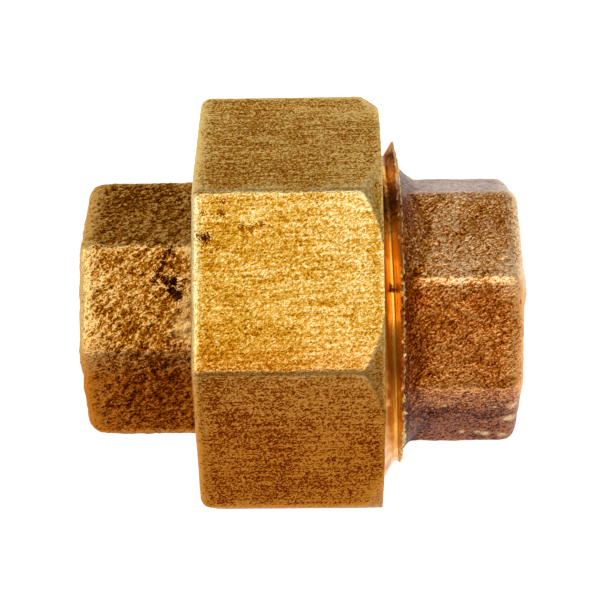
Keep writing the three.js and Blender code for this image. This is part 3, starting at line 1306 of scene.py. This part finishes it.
@dataclass
class Piece:
    """What the three pieces share: how they are dressed and handed over.

    Attributes:
        sizes: The shared sizes.
        skin: The cast finish outside.
        cut: The machined finish on threads, bores and seats.
    """

    sizes: UnionSizes
    skin: bpy.types.Material
    cut: bpy.types.Material
    name: str = ""
    node: str = ""
    slot: str = ""

    def is_machined(self, x: float, radius: float) -> bool:
        """Whether a tool has cut the surface at this X and radius."""
        raise NotImplementedError

    def shape(self) -> bpy.types.Object:
        """Makes the piece's mesh."""
        raise NotImplementedError

    def make(self) -> bpy.types.Object:
        """Makes, dresses and hands over the piece."""
        piece = self.shape()
        piece.name = self.name
        pick(piece)
        bpy.ops.object.shade_smooth_by_angle(angle=math.radians(SHARP_EDGE))
        piece.data.materials.clear()
        piece.data.materials.append(self.skin)
        piece.data.materials.append(self.cut)
        for polygon in piece.data.polygons:
            polygon.material_index = int(self.is_machined(*reach(polygon.center)))
        store_relief(piece)
        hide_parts(self.node)
        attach(piece, self.node)
        LOG.info("%s: %d faces", self.name, len(piece.data.polygons))
        return piece


@dataclass
class TailPiece(Piece):
    """The piece that the nut pulls: octagon, neck, collar and ball."""

    name: str = "cast_tail_piece"
    node: str = "tail_piece"
    slot: str = "rough_cast_brass"
    end_round: float = 2.0
    corner_round: float = 0.5
    neck_below_corner: float = 0.3
    cast_inside_nut: float = 0.6
    collar_back_gap: float = 0.3
    lip_thickness: float = 3.8
    collar_bevel: float = 0.4
    voxel: float = 0.23
    grains: tuple[Grain, ...] = (
        Grain("CLOUDS", 2.2, 0.36, stretch=1.9, tilt=38, shift=3),
        Grain("CLOUDS", 0.9, 0.26, stretch=1.6, tilt=38, shift=11),
        Grain("CLOUDS", 0.5, 0.16, shift=5),
    )
    crevices: tuple[Crevice, ...] = (
        Crevice(((-14.2, 5.4, 14.6), (-15.0, 3.8, 14.6), (-15.8, 2.2, 14.6), (-16.5, 0.8, 14.6)), 0.26),
        Crevice(((-14.9, 1.9, 14.5), (-14.2, 1.2, 14.4), (-14.3, 0.2, 14.4), (-13.2, -0.4, 14.5)), 0.4),
        Crevice(((-13.2, -0.4, 14.5), (-12.8, 0.3, 14.6), (-13.4, 1.0, 14.6)), 0.24),
        Crevice(((-13.7, -2.8, 14.6), (-14.1, -4.2, 14.6), (-13.8, -5.2, 14.6)), 0.22),
    )

    def shape(self) -> bpy.types.Object:
        """Casts the octagon, adds the turned end, and bores and taps it."""
        s = self.sizes
        cast_end = s.lip_x + self.cast_inside_nut
        piece = octagon_bar("tail_blank", (s.tail_end_x, cast_end), s.tail_flats, s.tail_turn)
        round_corners(piece, self.corner_round)
        round_end(piece, s.tail_end_x, self.end_round)
        cast_skin(piece, self.voxel, self.grains, self.crevices)
        machine(piece, self.turned_end(cast_end), Cut.JOIN)
        s.bore_waterway(piece, (s.tail_end_x - 1, s.nose_tip_x + 1))
        s.pipe.tap(piece, s.tail_end_x, 1)
        return piece

    def turned_end(self, cast_end: float) -> bpy.types.Object:
        """The neck, collar and ball, as turned on a lathe."""
        s = self.sizes
        centre, radius = s.ball
        start = math.degrees(math.acos((s.nose_tip_x - centre) / radius))
        end = math.degrees(math.acos((s.collar_front_x - centre) / radius))
        neck = s.tail_flats / 2 / math.cos(math.pi / FLATS) - self.neck_below_corner
        collar_back = s.lip_x + self.lip_thickness + self.collar_back_gap
        outline = [
            (s.nose_tip_x, 0),
            *arc((centre, 0), radius, start, end, 12),
            (s.collar_front_x, s.collar - self.collar_bevel),
            (s.collar_front_x - self.collar_bevel, s.collar),
            (collar_back, s.collar),
            (collar_back, neck),
            (cast_end - 0.5, neck),
            (cast_end - 0.5, 0),
        ]
        return turned("tail_turned_end", outline, 128)

    def is_machined(self, x: float, radius: float) -> bool:
        """Inside the socket, and all of the end inside the nut."""
        s = self.sizes
        return s.in_bore(radius) or x > s.lip_x + self.cast_inside_nut


@dataclass
class UnionNut(Piece):
    """The octagonal nut, with a lip at the tail's side and a turned chamfer at the other."""

    name: str = "cast_union_nut"
    node: str = "union_nut"
    slot: str = "nut_brass"
    corner_round: float = 0.35
    edge_round: float = 1.2
    chamfer_depth: float = 2.2
    chamfer_rim: float = 0.3
    lip_thickness: float = 3.8
    mouth_bevel: float = 1.4
    relief_clearance: float = 0.1
    stop_length: float = 20.0
    stop_radius: float = 40.0
    voxel: float = 0.3
    grains: tuple[Grain, ...] = (
        Grain("CLOUDS", 5.0, 0.16, stretch=1.5, shift=7),
        Grain("CLOUDS", 0.9, 0.07, stretch=2.2, tilt=4, shift=2),
        Grain("CLOUDS", 0.5, 0.06, shift=9),
    )

    def shape(self) -> bpy.types.Object:
        """Casts the octagon with its chamfer, then bores and threads it."""
        s = self.sizes
        piece = octagon_bar("nut_blank", (s.lip_x, s.mouth_x + 2), s.nut_flats, 0)
        round_corners(piece, self.corner_round)
        round_end(piece, s.lip_x, self.edge_round)
        machine(piece, self.chamfer(), Cut.COMMON)
        cast_skin(piece, self.voxel, self.grains)
        machine(piece, self.inside(), Cut.AWAY)
        relief_x = s.collar_front_x - s.gap
        middle_x = s.shoulder_x + s.thread.pitch / 2
        span = (relief_x, s.mouth_x + s.thread.pitch)
        groove = s.thread.inside_groove(s.nut_root, s.nut_crest, middle_x, span)
        stop_x, past_x = relief_x - s.gap, s.lip_x - self.stop_length
        stop = [(stop_x, 0), (stop_x, self.stop_radius), (past_x, self.stop_radius), (past_x, 0)]
        machine(groove, turned("thread_stop", stop, 64), Cut.AWAY)
        machine(piece, groove, Cut.AWAY)
        return piece

    def chamfer(self) -> bpy.types.Object:
        """The turned envelope whose cone takes the nut's corners off."""
        s = self.sizes
        corner = s.nut_flats / 2 / math.cos(math.pi / FLATS)
        rim = s.nut_flats / 2 + self.chamfer_rim
        outside = corner + 1
        back = s.mouth_x - self.chamfer_depth * (outside - rim) / (corner - rim)
        far_x = s.lip_x - 1
        outline = [(s.mouth_x, 0), (s.mouth_x, rim), (back, outside), (far_x, outside), (far_x, 0)]
        return turned("nut_chamfer", outline, 192)

    def inside(self) -> bpy.types.Object:
        """What the lathe takes out: mouth, thread bore, relief and lip hole."""
        s = self.sizes
        slope = (s.nut_root - s.nut_crest) / self.mouth_bevel
        relief_x = s.collar_front_x - s.gap
        relief = s.nut_root + self.relief_clearance
        outline = [
            (s.mouth_x + 1, 0),
            (s.mouth_x + 1, s.nut_root + slope),
            (s.mouth_x - self.mouth_bevel, s.nut_crest),
            (relief_x, s.nut_crest),
            (relief_x, relief),
            (s.lip_x + self.lip_thickness, relief),
            (s.lip_x + self.lip_thickness, s.lip_hole),
            (s.lip_x - 1, s.lip_hole),
            (s.lip_x - 1, 0),
        ]
        return turned("nut_inside_tool", outline, 128)

    def is_machined(self, x: float, radius: float) -> bool:
        """All of the inside, but not the two side faces."""
        s = self.sizes
        return radius < s.nut_root + 0.3 and s.lip_x + 0.25 < x < s.mouth_x - 0.1


@dataclass(frozen=True)
class Burr:
    """The ragged edge that the threading tool leaves on the barrel's shoulder.

    Attributes:
        seed: Starts its random draws.
        waves: How many ripples it is made of.
        turns: The fewest and the most crests that a ripple has round the barrel.
        ripple: Height of the ripples along X, in millimetres.
        tooth: Height of the longest single teeth along X, in millimetres.
        lightest: Its least height, as a share of the greatest.
        heavy_at: Degrees from +Y towards +Z where it is greatest.
        edge: Width of the band under the barrel's crest that is nicked, in millimetres.
        nicks: How far single teeth and ripples draw that band in, as shares of its radius.
    """

    seed: int = 11
    waves: int = 14
    turns: tuple[int, int] = (5, 90)
    ripple: float = 0.5
    tooth: float = 0.6
    lightest: float = 0.45
    heavy_at: float = 140.0
    edge: float = 0.6
    nicks: tuple[float, float] = (0.02, 0.006)

    def tear(self, blank: bpy.types.Object, shoulder: tuple[float, float], crest: float) -> None:
        """Pushes points of the shoulder in and out along X, as the cutter leaves them.

        Args:
            blank: The turned barrel.
            shoulder: Least X and least radius of the shoulder, in millimetres.
            crest: Radius of the barrel, in millimetres.
        """
        rng = random.Random(self.seed)
        waves = [(rng.randint(*self.turns), rng.uniform(0, 2 * math.pi)) for _ in range(self.waves)]
        for vertex in blank.data.vertices:
            x, radius = reach(vertex.co)
            if x < shoulder[0] or radius < shoulder[1]:
                continue
            angle = math.atan2(vertex.co.z, vertex.co.y)
            ripple = sum(math.sin(n * angle + phase) for n, phase in waves) / self.waves
            facing = max(0.0, math.cos(angle - math.radians(self.heavy_at))) ** 2
            height = self.lightest + (1 - self.lightest) * facing
            tooth = rng.random() ** 2
            vertex.co.x += (ripple * self.ripple + tooth * self.tooth) * height * MM
            if radius > crest - self.edge:
                nick = 1 - (self.nicks[0] * rng.random() ** 2 + self.nicks[1] * abs(ripple))
                vertex.co.y *= nick
                vertex.co.z *= nick


@dataclass
class ThreadPiece(Piece):
    """The piece that the nut screws on: octagon, cast flare, threaded barrel and seat."""

    name: str = "cast_thread_piece"
    node: str = "thread_piece"
    slot: str = "rough_cast_brass"
    end_round: float = 1.9
    corner_round: float = 0.45
    flare_radius: float = 6.2
    flare_below_root: float = 0.85
    barrel_lead: float = 1.4
    shoulder_lean: float = 0.9
    shoulder_rings: int = 9
    ring_gap: float = 0.4
    gate_depth: float = 2.0
    gate_place: tuple[float, float] = (0.6, 12.4)
    gate_radii: tuple[float, float, float] = (2.4, 4.2, 2.6)
    burr: Burr = Burr()
    voxel: float = 0.23
    grains: tuple[Grain, ...] = (
        Grain("CLOUDS", 3.2, 0.28, stretch=1.4, tilt=35, shift=17),
        Grain("CLOUDS", 0.9, 0.11, stretch=1.6, tilt=35, shift=4),
        Grain("CLOUDS", 0.5, 0.10, shift=6),
    )

    def shape(self) -> bpy.types.Object:
        """Casts the octagon and flare, adds the barrel, and cuts threads, seat and socket."""
        s = self.sizes
        span = (s.shoulder_x - 2.5, s.thread_end_x)
        piece = octagon_bar("thread_blank", span, s.thread_piece_flats, s.thread_piece_turn)
        round_corners(piece, self.corner_round)
        round_end(piece, s.thread_end_x, self.end_round)
        machine(piece, self.flare(), Cut.JOIN)
        machine(piece, self.gate_stub(), Cut.JOIN)
        cast_skin(piece, self.voxel, self.grains)
        machine(piece, self.barrel(), Cut.JOIN)
        threaded = (s.barrel_face_x - s.thread.pitch, s.shoulder_x + s.thread.pitch)
        groove = s.thread.outside_groove(s.barrel_root, s.barrel, s.shoulder_x, threaded)
        machine(piece, groove, Cut.AWAY)
        s.bore_waterway(piece, (s.barrel_face_x - 1, s.thread_end_x + 1))
        machine(piece, self.seat(), Cut.AWAY)
        s.pipe.tap(piece, s.thread_end_x, -1)
        drop_crumbs(piece)
        return piece

    @property
    def flare_top(self) -> float:
        """Radius of the flare where it meets the shoulder."""
        return self.sizes.barrel_root - self.flare_below_root

    def flare(self) -> bpy.types.Object:
        """The hollow cast curve from the octagon up to the shoulder."""
        s = self.sizes
        foot = s.thread_piece_flats / 2 - s.gap
        height = foot + self.flare_radius
        lean = math.degrees(math.asin((height - self.flare_top) / self.flare_radius))
        run = self.flare_radius * math.cos(math.radians(lean))
        curve = arc((s.shoulder_x + run, height), self.flare_radius, 270, 180 + lean, 14)
        inner_x = s.shoulder_x - 1
        outline = [(s.shoulder_x + run, 0), *curve, (inner_x, self.flare_top), (inner_x, 0)]
        return turned("thread_flare", outline, 128)

    def gate_stub(self) -> bpy.types.Object:
        """The low swelling on the end face where the metal was poured in."""
        deselect_all()
        middle = (self.sizes.thread_end_x - self.gate_depth, *self.gate_place)
        bpy.ops.mesh.primitive_uv_sphere_add(
            segments=32, ring_count=16, radius=MM, location=[c * MM for c in middle], scale=self.gate_radii
        )
        stub = named("gate_stub")
        settle(stub)
        return stub

    def barrel(self) -> bpy.types.Object:
        """The turned barrel, whose leaning shoulder has a ragged burr where the thread runs out."""
        s = self.sizes
        first = self.flare_top - self.ring_gap / 2
        radii = [first + self.ring_gap * i for i in range(self.shoulder_rings)]
        lean = [self.shoulder_lean * ((r - radii[0]) / (s.barrel - radii[0])) ** 1.1 for r in radii]
        outline = [(s.shoulder_x, 0)]
        outline += [(s.shoulder_x - shift, r) for shift, r in zip(lean, radii)]
        outline += [
            (s.shoulder_x - self.shoulder_lean, s.barrel),
            (s.barrel_face_x + self.barrel_lead, s.barrel),
            (s.barrel_face_x, s.barrel_root - s.gap),
            (s.barrel_face_x, 0),
        ]
        blank = turned("thread_barrel", outline, 480)
        least_x = s.shoulder_x - self.shoulder_lean - 0.01
        self.burr.tear(blank, (least_x, self.flare_top), s.barrel)
        return blank

    def seat(self) -> bpy.types.Object:
        """The cone that the ball bears on."""
        s = self.sizes
        centre, radius = s.ball
        lean = math.asin(((s.collar_front_x + s.nose_tip_x) / 2 - centre) / radius)

        def cone_radius(x: float) -> float:
            """The cone's radius at an X."""
            return (radius + s.gap - (x - centre) * math.sin(lean)) / math.cos(lean)

        narrow = s.waterway - s.gap
        narrow_x = centre + (radius + s.gap - narrow * math.cos(lean)) / math.sin(lean)
        mouth_x = s.barrel_face_x - 1
        outline = [(narrow_x, 0), (narrow_x, narrow), (mouth_x, cone_radius(mouth_x)), (mouth_x, 0)]
        return turned("seat_tool", outline, 128)

    def is_machined(self, x: float, radius: float) -> bool:
        """The barrel up to its shoulder, and the inside."""
        s = self.sizes
        on_barrel = x < s.shoulder_x + 0.6 and radius > self.flare_top + 0.12
        return s.in_bore(radius) or on_barrel or x < s.shoulder_x - 0.8


# ---- The studio ----


@dataclass
class Studio:
    """A pale table in a dim room, under a large soft lamp.

    A pale panel stands off each end of the union, and a low one in front. Lengths are in millimetres, and
    powers in watts.
    """

    table_radius: float = 900.0
    table_gap: float = 0.05
    table_colour: str = "#8C8B89"
    table_glow: float = 0.93
    room: str = "#5A544E"
    room_strength: float = 2.1
    lamp_place: tuple[float, float, float] = (20.0, 110.0, 450.0)
    lamp_size: float = 540.0
    lamp_power: float = 1.88
    panel_away: float = 300.0
    panel_height: float = 190.0
    panel_size: float = 220.0
    panel_powers: tuple[float, float] = (0.6, 0.15)
    low_panel_height: float = 85.0
    low_panel_size: float = 150.0
    low_panel_power: float = 0.07

    def table(self) -> bpy.types.Object:
        """The table, which the union lies on."""
        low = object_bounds()[0]
        deselect_all()
        bpy.ops.mesh.primitive_circle_add(
            vertices=96,
            radius=self.table_radius * MM,
            fill_type="NGON",
            location=(0, 0, low[2] - self.table_gap * MM),
        )
        top = named("table")
        settle(top)
        material, tree = start_material("matt_white_laminate")
        sockets = {
            "Base Color": linear(self.table_colour),
            "Roughness": 0.9,
            "Emission Color": (1.0, 1.0, 1.0, 1.0),
            "Emission Strength": self.table_glow,
        }
        shader = add(tree, "BsdfPrincipled", sockets)
        add(tree, "OutputMaterial", {"Surface": shader.outputs["BSDF"]})
        top.data.materials.append(material)
        top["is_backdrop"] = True
        return top

    def lamp(self, name: str, place: Vector, aim: Vector, size: float, power: float) -> None:
        """Hangs a square soft lamp.

        Args:
            name: The lamp's name.
            place: Where it hangs, in millimetres.
            aim: The point that it is turned to, in millimetres.
            size: Its side, in millimetres.
            power: Its power, in watts.
        """
        deselect_all()
        bpy.ops.object.light_add(type="AREA", location=place * MM)
        lamp = bpy.context.object
        lamp.name = name
        lamp.rotation_euler = (aim - place).to_track_quat("-Z", "Y").to_euler()
        lamp.data.shape = "SQUARE"
        lamp.data.size = size * MM
        lamp.data.energy = power

    def light(self) -> None:
        """Sets the room's light and hangs the lamps."""
        world = bpy.data.worlds.new("room")
        bpy.context.scene.world = world
        world.use_nodes = True
        backdrop = world.node_tree.nodes["Background"]
        backdrop.inputs["Color"].default_value = linear(self.room)
        backdrop.inputs["Strength"].default_value = self.room_strength
        middle = Vector((0, 0, 0))
        self.lamp("soft_lamp", Vector(self.lamp_place), middle, self.lamp_size, self.lamp_power)
        for side, power in zip((-1, 1), self.panel_powers):
            place = Vector((side * self.panel_away, 0, self.panel_height))
            self.lamp("end_panel", place, middle, self.panel_size, power)
        near = Vector((0, -self.panel_away, self.low_panel_height))
        self.lamp("low_panel", near, middle, self.low_panel_size, self.low_panel_power)


@dataclass
class Viewpoint:
    """The camera, almost straight above the union.

    Attributes:
        distance: From the camera to the point it looks at, in millimetres.
        elevation: Degrees above the table.
        swing: Degrees about the view's upright, towards the thread piece.
        roll: Degrees that the picture leans, anticlockwise.
        aim: The point looked at: X, and the height up the picture, in millimetres.
        lens: Focal length on a 36 mm sensor.
    """

    distance: float = 195.4
    elevation: float = 82.4
    swing: float = 1.06
    roll: float = 0.58
    aim: tuple[float, float] = (-0.315, 1.115)
    lens: float = 98.8

    def set_up(self) -> None:
        """Makes the camera and gives it to the scene."""
        rise, swing, roll = (math.radians(a) for a in (self.elevation, self.swing, self.roll))
        straight = Vector((0, -math.cos(rise), math.sin(rise)))
        back = straight * math.cos(swing) + Vector((math.sin(swing), 0, 0))
        up = Vector((0, math.sin(rise), math.cos(rise)))
        right = up.cross(back)
        leaning_right = right * math.cos(roll) - up * math.sin(roll)
        leaning_up = right * math.sin(roll) + up * math.cos(roll)
        aim = Vector((self.aim[0], 0, 0)) + up * self.aim[1]
        place = (aim + back * self.distance) * MM
        axes = Matrix((leaning_right, leaning_up, back)).transposed().to_4x4()
        camera = bpy.data.objects.new("camera", bpy.data.cameras.new("camera"))
        bpy.context.scene.collection.objects.link(camera)
        camera.matrix_world = Matrix.Translation(place) @ axes
        camera.data.lens = self.lens
        camera.data.sensor_width = 36
        camera.data.clip_start = 0.01
        bpy.context.scene.camera = camera


# ---- The whole ----


def nut_brass() -> bpy.types.Material:
    """Cast brass that tumbling has smoothed, with long marks along the pipe and tarnish at one corner."""
    return SandCastBrass(
        name="sand_cast_brass_tumbled",
        tones=Tones("#7C3C00", "#AC760A", "#BC9338", "#D2C294"),
        grain_size=0.24,
        grain_stretch=1.4,
        grain_tilt=28,
        speckle=1.55,
        streak=0.7,
        streak_stretch=16.0,
        streak_tilt=2,
        bump_height=0.05,
        relief_range=0.03,
        relief_weight=0.35,
        patches=0.35,
        # Painted highlight along X: pale on the rounded edge at the lip and near the chamfer.
        painted_light_along_x=((-11.5, 0.5), (-10.4, -0.08), (0.0, 0.0), (7.0, 0.12), (8.4, 0.0), (9.1, 0.1)),
        # Marks drawn stronger on the side faces, as painted light and shade of the bumps.
        painted_side_contrast=((-12.5, 2.9), (-8.5, 1.0), (8.5, 1.0), (12.5, 2.1)),
        # Painted shade by side: darker and warmer towards -Y, a little yellower towards +Y.
        painted_side_shade=(
            (-17.0, "#E6A452"),
            (-11.5, "#EDB874"),
            (-6.0, "#FFF8EA"),
            (0.0, "#FFFFFF"),
            (8.5, "#FFFFFF"),
            (12.0, "#FFF0C8"),
        ),
        stains=(
            Stain((-9.8, 4.7, 23.4), 0.75, 1.0),
            Stain((-10.7, 5.0, 23.4), 0.35, 0.9),
            Stain((-10.1, 7.4, 23.4), 0.35, 0.7),
            Stain((-8.1, 7.3, 23.4), 0.45, 0.7),
            Stain((-7.9, 8.6, 23.4), 0.4, 0.6),
            Stain((-6.0, 5.7, 23.4), 0.45, 0.45),
            Stain((-4.9, 5.6, 23.4), 0.5, 0.5),
            Stain((-3.9, 6.1, 23.4), 0.45, 0.55),
            Stain((2.1, 8.4, 23.4), 0.2, 0.8),
            Stain((-8.6, 3.5, 23.4), 0.22, 0.8),
            Stain((-9.2, 3.2, 23.4), 0.22, 0.8),
        ),
        # Painted glints: tiny white spots on the top flat.
        chips_and_glints=tuple(Stain((x, y, 23.4), 0.18, 1.0) for x, y in ((-9.6, -1.9), (-9.0, -2.0), (-8.6, -6.3))),
    ).build()


def tail_brass() -> bpy.types.Material:
    """Rough cast brass, dark in its hollows and crevices, and painted pale at its end as a highlight."""
    hollows = [hollow for crevice in TailPiece.crevices for hollow in crevice.hollows()]
    return SandCastBrass(
        name="sand_cast_brass_rough",
        tones=Tones("#380E00", "#7C4000", "#A4680E", "#D2AE6E"),
        grain_size=0.25,
        grain_stretch=1.4,
        grain_tilt=38,
        speckle=1.7,
        streak=0.6,
        streak_stretch=5.0,
        streak_tilt=38,
        bump_height=0.1,
        relief_weight=0.75,
        patches=0.6,
        edge="#F0D8B0",
        # Marks drawn stronger on the side faces, as painted light and shade of the bumps.
        painted_side_contrast=((-7.0, 1.3), (-5.0, 1.0), (5.0, 1.0), (7.0, 1.4)),
        # Painted highlight along X: pale on the rounded end, and paler again towards the nut.
        painted_light_along_x=((-24.6, 0.6), (-22.6, 0.1), (-20.0, 0.0), (-15.0, -0.05), (-13.5, 0.1), (-11.5, 0.25)),
        # Painted shade by side: darker and warmer towards -Y, slightly dimmed towards +Y.
        painted_side_shade=((-9.0, "#E2A864"), (-4.5, "#FFFFFF"), (5.0, "#FFFFFF"), (7.0, "#F4EAD8")),
        # Dark over each crevice and a band round it.
        stains=tuple(Stain(tuple(place), radius * 1.8, 0.75) for place, radius in hollows),
        chips_and_glints=(
            Stain((-12.4, -3.6, 14.5), 1.6, 0.45),
            Stain((-12.2, -1.2, 14.5), 1.0, 0.4),
            Stain((-21.8, -6.6, 13.3), 0.3, 1.0),
        ),
    ).build()


def thread_piece_brass() -> bpy.types.Material:
    """Rough cast brass that has kept its brown, with a clear oxide film on one side that is also painted grey
    there as a reflection of the table, and chip marks at its end.
    """
    return SandCastBrass(
        name="sand_cast_brass_brown",
        tones=Tones("#5A1E00", "#A65E0A", "#C48434", "#F2D0A2"),
        grain_size=0.25,
        grain_stretch=1.4,
        grain_tilt=35,
        speckle=1.9,
        streak=0.8,
        streak_stretch=5.0,
        streak_tilt=35,
        bump_height=0.09,
        patches=0.9,
        oxide=((10.5, 0.0), (12.4, 0.6)),
        edge="#FFFFFF",
        # Marks drawn stronger towards -Y, as painted light and shade of the bumps.
        painted_side_contrast=((-12.0, 2.2), (-10.5, 1.2), (2.0, 1.1)),
        # Painted shade beside the shoulder, and a painted highlight on the rounded end.
        painted_light_along_x=((11.4, -0.35), (13.6, 0.0), (21.0, 0.06), (23.0, 0.12), (24.6, 0.45)),
        # Painted shade by side: dim and warm over the -Y half, grey-brown at the lowest face, and a painted
        # grey reflection of the table along the +Y edge.
        painted_side_shade=(
            (-12.8, "#AA785C"),
            (-10.2, "#FFD9A8"),
            (-1.0, "#FFD9A8"),
            (2.0, "#FFFFFF"),
            (11.4, "#FFFFFF"),
            (12.4, "#B8AEB6"),
        ),
        stains=(Stain((23.3, -13.8, 4.9), 0.35, 1.0), Stain((17.2, -14.9, 3.0), 0.4, 1.0)),
        chips_and_glints=(
            Stain((23.7, -12.0, 7.8), 0.7, 0.8),
            Stain((23.4, -13.4, 5.5), 0.75, 0.8),
            Stain((23.9, -13.1, 5.0), 0.6, 0.8),
            Stain((22.9, -15.0, 2.3), 0.6, 0.7),
            Stain((21.0, -15.0, 2.7), 0.6, 0.7),
            Stain((20.1, -14.9, 3.1), 0.4, 0.7),
            Stain((18.3, -14.8, 3.2), 0.35, 0.7),
            Stain((21.6, -12.4, 8.1), 0.25, 0.7),
            Stain((16.0, -12.2, 8.5), 0.25, 0.7),
        ),
    ).build()


def cut_brass() -> bpy.types.Material:
    """The machined finish, with a painted dark reflection on the thread's far side and dark specks in the
    groove.
    """
    # Painted dark reflection, brown over the thread's far side.
    painted_dark_reflection = (Stain((10.2, 11.5, 15.5), 4.5, 0.75), Stain((10.4, 18.0, 8.5), 4.5, 0.6))
    specks = (
        Stain((9.35, 16.2, 11.0), 0.45, 1.0),
        Stain((10.2, 17.5, 9.9), 0.5, 1.0),
        Stain((9.85, -0.2, 18.0), 0.6, 1.0),
        Stain((10.6, 3.4, 19.0), 0.35, 0.9),
        Stain((10.9, 7.9, 17.6), 0.3, 0.9),
        Stain((9.9, -8.2, 17.6), 0.4, 0.9),
    )
    return CutBrass(stains=painted_dark_reflection + specks).build()


def main() -> None:
    """Builds the union round the frame."""
    logging.basicConfig(level=logging.INFO, format="%(name)s: %(message)s")
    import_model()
    bpy.context.scene.view_settings.view_transform = "Standard"
    Viewpoint().set_up()
    studio = Studio()
    studio.table()
    studio.light()
    sizes = UnionSizes()
    cut = cut_brass()
    TailPiece(sizes, tail_brass(), cut).make()
    UnionNut(sizes, nut_brass(), cut).make()
    ThreadPiece(sizes, thread_piece_brass(), cut).make()
    deselect_all()


if __name__ == "__main__":
    main()
